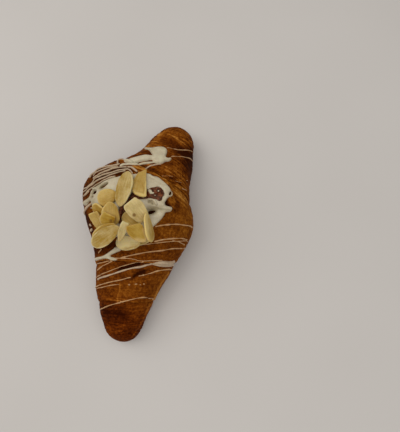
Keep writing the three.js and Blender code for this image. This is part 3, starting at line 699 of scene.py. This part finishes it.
def make_pastry():
    """The rolled pastry: a fine sheet, rolled up along the edge of the dough."""
    rows = roll_rows()
    bpy.ops.mesh.primitive_grid_add(x_subdivisions=COLUMNS, y_subdivisions=len(rows) - 1, size=1)
    pastry = bpy.context.object
    pastry.name = "pastry"
    share = points_of(pastry) + 0.5
    around = share[:, 0]
    side, turn, across = rows[np.rint(share[:, 1] * (len(rows) - 1)).astype(int)].T
    y, across, from_crease, from_lip = dough_places(side, turn, across, around)
    angle = POINT_ANGLE + 2 * np.pi * around
    step = TURN_STEP * (section_at(y, TOP) / HEIGHT) ** STEP_TAPER
    lift = pillow(across) * step
    plain = skin_points(y, angle, lift)
    marks = crust_marks(plain)
    pits, hollow, torn = marks[:3]
    relief = crust_relief(plain, turn, around, from_lip, across) + TORN_HEIGHT * torn
    relief -= pits + hollow * KNOB_HOLLOW[2]
    set_points(pastry, to_frame(skin_points(y, angle, lift + relief)))
    colour_crust(pastry, plain, from_crease, from_lip, step, marks)
    rolled_out = np.stack([around * GIRTH, from_lip + TURN_STRIP * turn + HALF_STRIP * side], axis=1)
    set_uv(pastry, "dough", rolled_out * UV_SCALE)
    clean_mesh(pastry, PASTRY_MERGE * MM)
    bpy.ops.object.shade_smooth()
    return pastry


class Skin:
    """The skin of the pastry, to lay things on."""

    def __init__(self, piece):
        faces = [tuple(face.vertices) for face in piece.data.polygons]
        self.tree = BVHTree.FromPolygons((points_of(piece) / MM - RECENTRED).tolist(), faces)

    def below(self, x, y):
        """The point of the skin straight below a place in plan, or None beside the pastry."""
        return self.tree.ray_cast(Vector((x, y, 2 * HEIGHT)), DOWN)[0]

    def nearest(self, point):
        return self.tree.find_nearest(Vector(point))[0]

    def outward(self, point):
        """The direction out of the plain form at a point on or near the skin."""
        x, y, z = point
        left, right, top = (float(section_at(np.array([y]), c)[0]) for c in (LEFT, RIGHT, TOP))
        waist = WAIST * top
        rise = top - waist if z > waist else BELLY * waist
        half = (right - left) / 2
        behind, ahead = section_at(np.array([y - 1.0, y + 1.0]), TOP)
        lean = float(ahead - behind) / 2
        up = (z - waist) / rise**2
        return Vector(((x - (left + right) / 2) / half**2, -lean * abs(up), up)).normalized()


# Icing and filling


def smooth_line(places, pitch, closed=False):
    """A smooth line through places, as points about a pitch apart."""
    places = np.asarray(places, float)
    if closed:
        ring = np.concatenate([places[-1:], places, places[:2]])
    else:
        ring = np.concatenate([2 * places[:1] - places[1:2], places, 2 * places[-1:] - places[-2:-1]])
    made = []
    for before, start, end, after in zip(ring, ring[1:], ring[2:], ring[3:]):
        steps = max(2, math.ceil(np.linalg.norm(end - start) / pitch))
        weights = curve_weights(np.linspace(0, 1, steps, endpoint=False)[:, None])
        parts = start, (end - before) / 2, end, (after - start) / 2
        made.append(sum(weight * part for weight, part in zip(weights, parts)))
    if not closed:
        made.append(places[-1:])
    return np.concatenate(made)


def depth_inside(points, outline):
    """Distance of points in plan from an outline, positive inside it."""
    start = outline
    edge = np.roll(outline, -1, axis=0) - start
    away = points[:, None] - start
    share = np.clip((away * edge).sum(2) / (edge**2).sum(1), 0, 1)
    distance = np.linalg.norm(away - share[..., None] * edge, axis=2).min(1)
    rising = (start[:, 1] > points[:, 1:]) != ((start + edge)[:, 1] > points[:, 1:])
    with np.errstate(divide="ignore", invalid="ignore"):
        crossing = start[:, 0] + (points[:, 1:] - start[:, 1]) * edge[:, 0] / edge[:, 1]
    inside = (rising & (points[:, :1] < crossing)).sum(1) % 2 == 1
    return np.where(inside, distance, -distance)


def spread(skin, outline, thickness, rim, lumps, lump_size, seed, holes=(), dents=()):
    """Icing or filling spread on the skin inside an outline: a closed sheet with a round rim."""
    edge = smooth_line(outline, SPREAD_PITCH, closed=True)
    low, high = edge.min(0) - 1, edge.max(0) + 1
    across, along = (np.arange(a, b, SPREAD_PITCH) for a, b in zip(low, high))
    places = np.stack(np.meshgrid(across, along, indexing="ij"), axis=2).reshape(-1, 2)
    depth = depth_inside(places, edge)
    for hole in holes:
        within = depth_inside(places, smooth_line(hole, SPREAD_PITCH, closed=True))
        depth = np.minimum(depth, -HOLE_STEEPNESS * within)
    uneven = lumps * soft_noise(np.column_stack([places / lump_size, np.zeros(len(places))]), seed)
    fall = 1 - np.clip(depth / rim, 0, 1)
    uneven -= weighted_marks(places, dents)
    height = np.where(depth > 0, (thickness + uneven) * np.sqrt(1 - fall**2), -SUNK / 2)
    return sheet_on_skin(skin, places, depth > -1.5 * SPREAD_PITCH, height, len(along))


def sheet_on_skin(skin, places, kept, height, rows):
    """A closed sheet over the kept places of a grid of rows, its top at a height over the skin."""
    top, under = {}, {}
    points = []
    for i in np.flatnonzero(kept):
        ground = skin.below(*places[i])
        if ground is None:
            continue
        out = skin.outward(ground)
        for sheet, lift in ((top, height[i]), (under, -SUNK)):
            sheet[i] = len(points)
            points.append(ground + out * lift)
    cells = []
    for i in top:
        cell = (i, i + rows, i + rows + 1, i + 1)
        if (i + 1) % rows and all(corner in top for corner in cell):
            cells.append(cell)
    faces = [[top[c] for c in cell] for cell in cells]
    faces += [[under[c] for c in reversed(cell)] for cell in cells]
    used = {edge for cell in cells for edge in zip(cell, cell[1:] + cell[:1])}
    faces += [[top[b], top[a], under[a], under[b]] for a, b in used if (b, a) not in used]
    mesh = bpy.data.meshes.new("sheet")
    mesh.from_pydata(to_frame([tuple(p) for p in points]).tolist(), [], faces)
    return new_piece("sheet", mesh)


def laid_line(skin, places, pitch, lift):
    """A line through places, laid on the skin and lifted off it."""
    corners = [skin.below(*p) if len(p) == 2 else skin.nearest(p) for p in places]
    line = smooth_line([tuple(c) for c in corners], pitch)
    ground = [skin.nearest(p) for p in line]
    return np.array([tuple(g + skin.outward(g) * lift) for g in ground])


def strands(skin, rows, seed, lift_share, unevenness, slimness=1):
    """Strands of icing as one mesh of round tubes with tapered ends. A row may give its own lift."""
    curve = bpy.data.curves.new("strands", "CURVE")
    curve.dimensions = "3D"
    curve.bevel_depth = MM
    curve.bevel_resolution = 2
    curve.use_fill_caps = True
    for i, row in enumerate(rows):
        width, places = row[0] * slimness, row[-1]
        lift = row[1] if len(row) == 3 else lift_share * width / 2
        line = laid_line(skin, places, STRAND_PITCH, lift)
        swell = 1 + unevenness * soft_noise(line / SWELL_LENGTH + i, seed)
        gone = np.linalg.norm(line - line[0], axis=1), np.linalg.norm(line - line[-1], axis=1)
        end = np.clip(np.minimum(*gone) / width, 0.02, 1)
        radius = width / 2 * swell * np.sqrt(1 - (1 - end) ** 2)
        spline = curve.splines.new("POLY")
        spline.points.add(len(line) - 1)
        spline.points.foreach_set("co", np.column_stack([to_frame(line), np.ones(len(line))]).ravel())
        spline.points.foreach_set("radius", radius)
    select_only(new_piece("strands", curve))
    bpy.ops.object.convert(target="MESH")
    return bpy.context.object


def make_icing(skin):
    """The pool of icing with its folds and the white bits on the filling, two of them painted highlights,
    the thick drizzle, the strands on the shoulder and thin threads.
    """
    pool = spread(skin, POOL, thickness=1.8, rim=1.7, lumps=0.35, lump_size=7, seed=11,
                  holes=POOL_HOLES, dents=POOL_DENTS)
    folds_bits_and_glints = strands(skin, RIDGES_BITS_AND_GLINTS, seed=12, lift_share=0.5, unevenness=0.15)
    pool = fuse([pool, folds_bits_and_glints], "icing_glaze", voxel=0.25, smoothing=3)
    blob = spread(skin, BLOB, thickness=2, rim=1.9, lumps=0.25, lump_size=5, seed=13)
    wedge = spread(skin, WEDGE, thickness=1.3, rim=1.1, lumps=0.35, lump_size=3, seed=19)
    strand = strands(skin, DRIZZLE, seed=15, lift_share=0.35, unevenness=0.25)
    drizzle = fuse([blob, wedge, strand], "icing_drizzle", voxel=0.25, smoothing=4)
    drip = spread(skin, DRIP, thickness=1.4, rim=1.4, lumps=0.15, lump_size=4, seed=14)
    lines = strands(skin, STRANDS, seed=18, lift_share=0.2, unevenness=0.3)
    shoulder = fuse([drip, lines], "icing_strands", voxel=0.22, smoothing=3)
    fine = strands(skin, THREADS + DROPLETS, seed=16, lift_share=0.3, unevenness=0.6, slimness=0.66)
    threads = fuse([fine], "icing_threads", voxel=0.16, smoothing=2)
    for piece in (pool, shoulder):
        # thin icing and painted shade
        set_attribute(piece, "sheer_and_shade", weighted_marks(points_of(piece) / MM - RECENTRED, SHEER_AND_SHADE))
    return pool, drizzle, shoulder, threads


def make_filling(skin):
    """The glossy, lumpy filling in its hole of the pool."""
    body = spread(skin, FILLING, thickness=1.5, rim=1.2, lumps=0.9, lump_size=1.9, seed=17)
    return fuse([body], "caramel_filling", voxel=0.22, smoothing=3)


# Flaked almonds


def flake_axes(points, faces):
    """Middle of a flake and its axes: along it, across it and out of its upper face."""
    corners = points[faces]
    normals = np.cross(corners[:, 1] - corners[:, 0], corners[:, 2] - corners[:, 0])
    area = np.linalg.norm(normals, axis=1)
    seed = normals[np.argmax(area)] / area.max()
    flat = normals[np.abs(normals @ seed) > 0.99 * area]
    out = (flat * np.sign(flat @ seed)[:, None]).sum(0)
    out *= np.sign(out[2]) / np.linalg.norm(out)
    middle = (points.min(0) + points.max(0)) / 2
    inplane = points - middle - np.outer((points - middle) @ out, out)
    along = np.linalg.svd(inplane, full_matrices=False)[2][0]
    along *= np.sign(along[0] + 0.01)
    return middle, np.array([along, np.cross(out, along), out])


def hull_outline(points):
    """Corners of the convex outline of points in a plane, in order."""
    return points[convex_hull_2d(points.tolist())]


def flake_noise(drawn, pattern):
    """The noise of a pattern on a flake."""
    finer, seed = pattern
    return soft_noise(drawn * finer, seed)


def mark_flake(flake, marks, local, inward, half_width, drawn, axes):
    """Stores on a flake its pale cut edge, partly painted light on a lit rim or side, the brown line beside
    it and its ripeness, whose fade across the flake is partly painted light.
    """
    heading, cut_width, paleness, lining, ripeness, fade = marks
    toward = axes[:2] @ (math.cos(math.radians(heading)), math.sin(math.radians(heading)), 0)
    toward /= np.linalg.norm(toward)
    from_middle = local[:, :2] / np.maximum(np.linalg.norm(local[:, :2], axis=1), 1)[:, None]
    facing = smooth_step(*FACING, from_middle @ toward)
    uneven = 1 + CUT_UNEVENNESS * flake_noise(drawn, CUT_WAVES)
    width = cut_width * with_more(CUT_WIDTHS, facing) * uneven
    faded = 1 - smooth_step(CUT_FADE[0] * width, CUT_FADE[1] * width, inward)
    cut_edge_and_lit_side = with_more(CUT_PALENESS, facing) * faded
    line = np.exp(-(((inward - LINE_PLACE * width) / LINE_WIDTH) ** 2)) * facing
    set_attribute(flake, "cut_edge_and_lit_side", cut_edge_and_lit_side * paleness)
    set_attribute(flake, "line", line * lining)
    # The fade is partly painted light: it makes one side of the flake paler
    set_attribute(flake, "ripe", ripeness - fade * (local[:, :2] @ toward) / half_width)


def warped(local, inward, half_width, drawn):
    """Points of a flake, along its own axes, with a slight warp, fine grooves and a thin, uneven rim."""
    warp = WARP[0] * flake_noise(drawn, SWELLS) + WARP[1] * (local[:, 1] / half_width) ** 2
    grooves = GROOVE_HEIGHT * flake_noise(drawn, GROOVES)
    thinning = 1 - THINNING[0] * np.exp(-inward / THINNING[1])
    amount, reach = RIM_UNEVENNESS
    uneven = flake_noise(drawn, RIM_WAVES) * amount * np.exp(-inward / reach)
    local = local.copy()
    local[:, 2] = local[:, 2] * thinning + warp + grooves * np.sign(local[:, 2])
    local[:, :2] *= 1 + (uneven / np.maximum(np.linalg.norm(local[:, :2], axis=1), 1))[:, None]
    return local


def make_flake(node, number, marks):
    """One almond flake: the solid's own form with soft edges, slightly warped, and its marks."""
    flake = new_piece(f"flaked_almond_{number:02d}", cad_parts[node].data.copy())
    clean_mesh(flake, FLAKE_MERGE * MM)
    faces = np.array([tuple(face.vertices) for face in flake.data.polygons])
    middle, axes = flake_axes(points_of(flake), faces)
    outline = hull_outline(((points_of(flake) - middle) @ axes.T / MM)[:, :2])
    shape_with(flake, "REMESH", mode="VOXEL", voxel_size=FLAKE_VOXEL * MM)
    shape_with(flake, "SMOOTH", factor=0.5, iterations=3)
    local = (points_of(flake) - middle) @ axes.T / MM
    inward = np.maximum(depth_inside(local[:, :2], outline), 0)
    half_width = np.ptp(outline[:, 1]) / 2
    drawn = np.column_stack([local[:, :2] / FLAKE_GRAIN, np.full(len(local), NOISE_SHIFT * number)])
    mark_flake(flake, marks, local, inward, half_width, drawn, axes)
    local = warped(local, inward, half_width, drawn)
    set_points(flake, local * MM @ axes + middle)
    if number in SPOTS:
        place, radius, softness = SPOTS[number]
        away = np.linalg.norm(points_of(flake) - to_frame(place), axis=1) / MM
        set_attribute(flake, "spot", np.exp(-(((away - radius) / softness) ** 2)))
    set_uv(flake, "kernel", local[:, :2] * UV_SCALE + MAP_SHIFT * number)
    select_only(flake)
    bpy.ops.object.shade_smooth()
    return flake


# Materials


def feed(tree, node, inputs):
    """Sets a node's inputs to values, or links them to what feeds them."""
    for key, value in inputs.items():
        if isinstance(value, bpy.types.NodeSocket):
            tree.links.new(value, node.inputs[key])
        else:
            node.inputs[key].default_value = value


def add(tree, kind, inputs=None, **settings):
    """A shader node with its settings, its values and what feeds it."""
    made = tree.nodes.new("ShaderNode" + kind)
    for key, value in settings.items():
        setattr(made, key, value)
    feed(tree, made, inputs or {})
    return made


def math_of(tree, operation, *values):
    return add(tree, "Math", dict(enumerate(values)), operation=operation).outputs[0]


def ramp_of(tree, value, stops):
    """Colours along a value, given as places and colours."""
    made = add(tree, "ValToRGB", {"Fac": value})
    elements = made.color_ramp.elements
    while len(elements) < len(stops):
        elements.new(0.5)
    for element, (place, colour) in zip(elements, stops):
        element.position = place
        element.color = (*colour, 1)
    return made.outputs[0]


def new_material(name, **values):
    """A material, its node tree and its shader, with the values that are the same all over."""
    material = bpy.data.materials.new(name)
    material.use_nodes = True
    shader = material.node_tree.nodes["Principled BSDF"]
    feed(material.node_tree, shader, {key.replace("_", " "): value for key, value in values.items()})
    return material, material.node_tree, shader


def new_group(name, inputs, outputs):
    """A shader node group with number sockets, except for a map and its stretch, and its two ends."""
    group = bpy.data.node_groups.new(name, "ShaderNodeTree")
    for in_out, sockets in (("INPUT", inputs), ("OUTPUT", outputs)):
        for socket in sockets:
            kind = "NodeSocketVector" if socket in ("Map", "Stretch") else "NodeSocketFloat"
            group.interface.new_socket(socket, in_out=in_out, socket_type=kind)
    return group, group.nodes.new("NodeGroupInput").outputs, group.nodes.new("NodeGroupOutput").inputs


def streak_group():
    """Streaks that follow a UV map: noise that is drawn out along its first axis."""
    group, start, end = new_group("streaks", ("Map", "Stretch", "Scale"), ("Streak",))
    factors = {0: start["Map"], 1: start["Stretch"]}
    drawn = add(group, "VectorMath", factors, operation="MULTIPLY").outputs[0]
    values = {"Vector": drawn, "Scale": start["Scale"], "Detail": 5, "Roughness": 0.62, "Distortion": 0.25}
    group.links.new(add(group, "TexNoise", values).outputs["Fac"], end["Streak"])
    return group


def grain_group():
    """Mottling in the body of a material: soft patches and finer specks."""
    group, start, end = new_group("grain", ("Patch Scale", "Speck Scale"), ("Patch", "Speck"))
    place = add(group, "TexCoord").outputs["Object"]
    for name, detail in (("Patch", 4.0), ("Speck", 3.0)):
        values = {"Vector": place, "Scale": start[name + " Scale"], "Detail": detail, "Roughness": 0.6}
        group.links.new(add(group, "TexNoise", values).outputs["Fac"], end[name])
    return group


def place_group(tree, group, inputs):
    """What comes out of a node group, fed with values."""
    made = tree.nodes.new("ShaderNodeGroup")
    made.node_tree = group
    feed(tree, made, inputs)
    return list(made.outputs)


def grain_of(tree, grain, patch_scale, speck_scale):
    """Patches and specks at a material's own scales."""
    return place_group(tree, grain, {"Patch Scale": patch_scale, "Speck Scale": speck_scale})


def streaks_of(tree, streaks, uv_map, stretch, scale):
    """Streaks along a UV map, drawn out as given."""
    place = add(tree, "UVMap", uv_map=uv_map).outputs["UV"]
    return place_group(tree, streaks, {"Map": place, "Stretch": stretch, "Scale": scale})[0]


def blended(tree, parts, start):
    """A sum of values about their middle, each with its weight, on top of a start."""
    total = start
    for value, weight in parts:
        centred = math_of(tree, "SUBTRACT", value, 0.5)
        total = math_of(tree, "ADD", total, math_of(tree, "MULTIPLY", centred, weight))
    return total


def bump_of(tree, height, strength, distance):
    """The normal of a surface with a height over it."""
    made = add(tree, "Bump", {"Height": height, "Strength": strength, "Distance": distance * MM})
    return made.outputs["Normal"]


def mixed(tree, share, first, second, **settings):
    """The first colour with a share of the second."""
    made = add(tree, "MixRGB", {"Fac": share, "Color1": first, "Color2": second}, **settings)
    return made.outputs[0]


def attribute_of(tree, name):
    """The number that a piece stores under a name."""
    return add(tree, "Attribute", attribute_name=name).outputs["Fac"]


def crust_material(streaks, grain):
    """Baked crust: brown and gold along the layers of the dough, mottled, and dark with painted shade in
    the creases and pits.
    """
    material, tree, shader = new_material(
        "baked_crust", Specular_IOR_Level=0.01, Specular_Tint=(1, 0.5, 0.15, 1))
    layers = streaks_of(tree, streaks, "dough", (3.3, 55, 1), 1.5)
    fine = streaks_of(tree, streaks, "dough", (6, 125, 1), 1.6)
    patch, speck = grain_of(tree, grain, 640, 1700)
    lines = blended(tree, [(layers, 1.6), (fine, 0.9)], 0)
    lined = math_of(tree, "MULTIPLY", lines, attribute_of(tree, "layered"))
    start = math_of(tree, "ADD", attribute_of(tree, "bake_and_painted_light"), lined)
    colour = ramp_of(tree, blended(tree, [(patch, 1), (speck, 0.5)], start), CRUST_COLOURS)
    height = blended(tree, [(layers, 0.5), (fine, 0.6), (speck, 0.5)], 0.5)
    feed(tree, shader, {
        "Base Color": mixed(tree, attribute_of(tree, "ruddy"), colour, RUDDY_TINT, blend_type="MULTIPLY"),
        "Roughness": blended(tree, [(patch, 0.4), (fine, 0.3)], 0.65),
        "Normal": bump_of(tree, height, 0.55, 0.35),
    })
    return material


def icing_material(name, grain):
    """White sugar icing, slightly uneven in colour and gloss, and tinted where it is thin and where shade
    is painted on it.
    """
    colours, roughness = ICINGS[name]
    material, tree, shader = new_material(
        name, Subsurface_Weight=0.12, Subsurface_Radius=(1, 0.8, 0.55), Subsurface_Scale=0.8 * MM,
        Specular_IOR_Level=0.35)
    patch, speck = grain_of(tree, grain, 260, 1500)
    tone = blended(tree, [(patch, 0.9), (speck, 0.35)], 0.5)
    colour = ramp_of(tree, tone, list(zip(ICING_TONES, colours)))
    feed(tree, shader, {
        "Base Color": mixed(tree, attribute_of(tree, "sheer_and_shade"), colour, SHEER_AND_SHADE_TINT),
        "Roughness": blended(tree, [(patch, 0.3)], roughness),
        "Normal": bump_of(tree, speck, 0.18, 0.15),
    })
    return material


def filling_material(grain):
    """Dulce de leche: dark, red-brown and glossy."""
    material, tree, shader = new_material(
        "dulce_de_leche_gloss", Specular_IOR_Level=0.4, Specular_Tint=(1, 0.6, 0.4, 1))
    patch, speck = grain_of(tree, grain, 520, 1700)
    feed(tree, shader, {
        "Base Color": ramp_of(tree, blended(tree, [(patch, 1.9), (speck, 0.4)], 0.42), FILLING_COLOURS),
        "Roughness": blended(tree, [(patch, 0.2)], 0.16),
        "Normal": bump_of(tree, patch, 0.5, 0.5),
    })
    return material


def almond_material(name, streaks, grain, ripe, plain, cut_edge_and_lit_side):
    """Almond flesh: streaked along the kernel, pale along its cut edge and on a side painted as lit, with a
    brown spot where one is.
    """
    deepest = [value * share for value, share in zip(ripe, DEEPER)]
    material, tree, shader = new_material(
        name, Subsurface_Weight=0.25, Subsurface_Radius=(1, 0.65, 0.2), Subsurface_Scale=1.2 * MM,
        Specular_IOR_Level=0.16, Specular_Tint=(1, 0.9, 0.6, 1))
    lines = streaks_of(tree, streaks, "kernel", (10, 85, 1), 1.5)
    patch, speck = grain_of(tree, grain, 190, 900)
    start = math_of(tree, "ADD", attribute_of(tree, "ripe"), 0.5)
    tone = blended(tree, [(lines, -0.9), (patch, 1.1), (speck, 0.3)], start)
    colour = ramp_of(tree, tone, list(zip(ALMOND_TONES, (plain, ripe, deepest))))
    for mark, strength, tint in (("cut_edge_and_lit_side", 1, cut_edge_and_lit_side), ("line", 0.6, LINE_TINT), ("spot", 0.9, SPOT_TINT)):
        share = math_of(tree, "MULTIPLY", attribute_of(tree, mark), strength)
        colour = mixed(tree, share, colour, (*tint, 1))
    feed(tree, shader, {
        "Base Color": colour,
        "Roughness": blended(tree, [(lines, 0.25)], 0.55),
        "Normal": bump_of(tree, lines, 0.25, 0.2),
    })
    return material


def floor_material():
    """Plain pale floor, faintly clouded."""
    material, tree, shader = new_material("pale_floor", Roughness=0.7, Specular_IOR_Level=0.15)
    place = add(tree, "TexCoord").outputs["Object"]
    cloud = add(tree, "TexNoise", {"Vector": place, "Scale": 6.0, "Detail": 2.0}).outputs["Fac"]
    feed(tree, shader, {"Base Color": ramp_of(tree, cloud, FLOOR_COLOURS)})
    return material


# Stage


def make_stage():
    """Pale floor and soft studio light."""
    bpy.ops.mesh.primitive_plane_add(size=FLOOR_SIZE)
    floor = bpy.context.object
    floor.name = "floor"
    floor.data.materials.append(floor_material())
    for name, (place, size, power, colour) in LIGHTS.items():
        bpy.ops.object.light_add(type="AREA", location=place)
        light = bpy.context.object
        light.name = name
        light.data.size = size
        light.data.energy = power
        light.data.color = colour
        light.rotation_euler = (-Vector(place)).to_track_quat("-Z", "Y").to_euler()
    world = bpy.data.worlds.new("room")
    world.use_nodes = True
    background = world.node_tree.nodes["Background"]
    feed(world.node_tree, background, {"Color": ROOM_COLOUR, "Strength": ROOM_STRENGTH})
    bpy.context.scene.world = world
    bpy.context.scene.view_settings.view_transform = "Standard"


def make_camera():
    """The photograph's camera."""
    bpy.ops.object.camera_add()
    camera = bpy.context.object
    turned = Matrix((CAMERA_RIGHT, CAMERA_UP, -Vector(CAMERA_AHEAD))).transposed()
    camera.matrix_world = Matrix.Translation(Vector(CAMERA_PLACE) * MM) @ turned.to_4x4()
    camera.data.sensor_width = SENSOR
    camera.data.lens = SENSOR * FOCAL_PIXELS / PHOTO_HEIGHT
    camera.data.clip_start = 0.01
    bpy.context.scene.camera = camera


def dress(piece, material, slot, *nodes):
    """Gives a finished piece its material and its body, and hides the solids that it stands for. Its slot
    is not used.
    """
    piece.data.materials.clear()
    piece.data.materials.append(material)
    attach(piece, "root")
    if nodes:
        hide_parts(*nodes)


make_camera()
make_stage()
streaks, grain = streak_group(), grain_group()

pastry = make_pastry()
skin = Skin(pastry)
pool, drizzle, shoulder, threads = make_icing(skin)
filling = make_filling(skin)
dress(pastry, crust_material(streaks, grain), "crust", "croissant")
thick, runny, thin = (icing_material(name, grain) for name in ICINGS)
dress(pool, thick, "icing", "icing_pool")
dress(drizzle, thick, "icing")
dress(shoulder, runny, "icing")
dress(threads, thin, "icing")
dress(filling, filling_material(grain), "caramel", "dulce_de_leche")

flesh = {tone: almond_material("almond_" + tone, streaks, grain, *ALMONDS[tone]) for tone in ALMONDS}
for number, (tone, *marks) in enumerate(FLAKES, start=1):
    node = f"almond_{number:02d}"
    dress(make_flake(node, number, marks), flesh[tone], f"almond_{tone}", node)
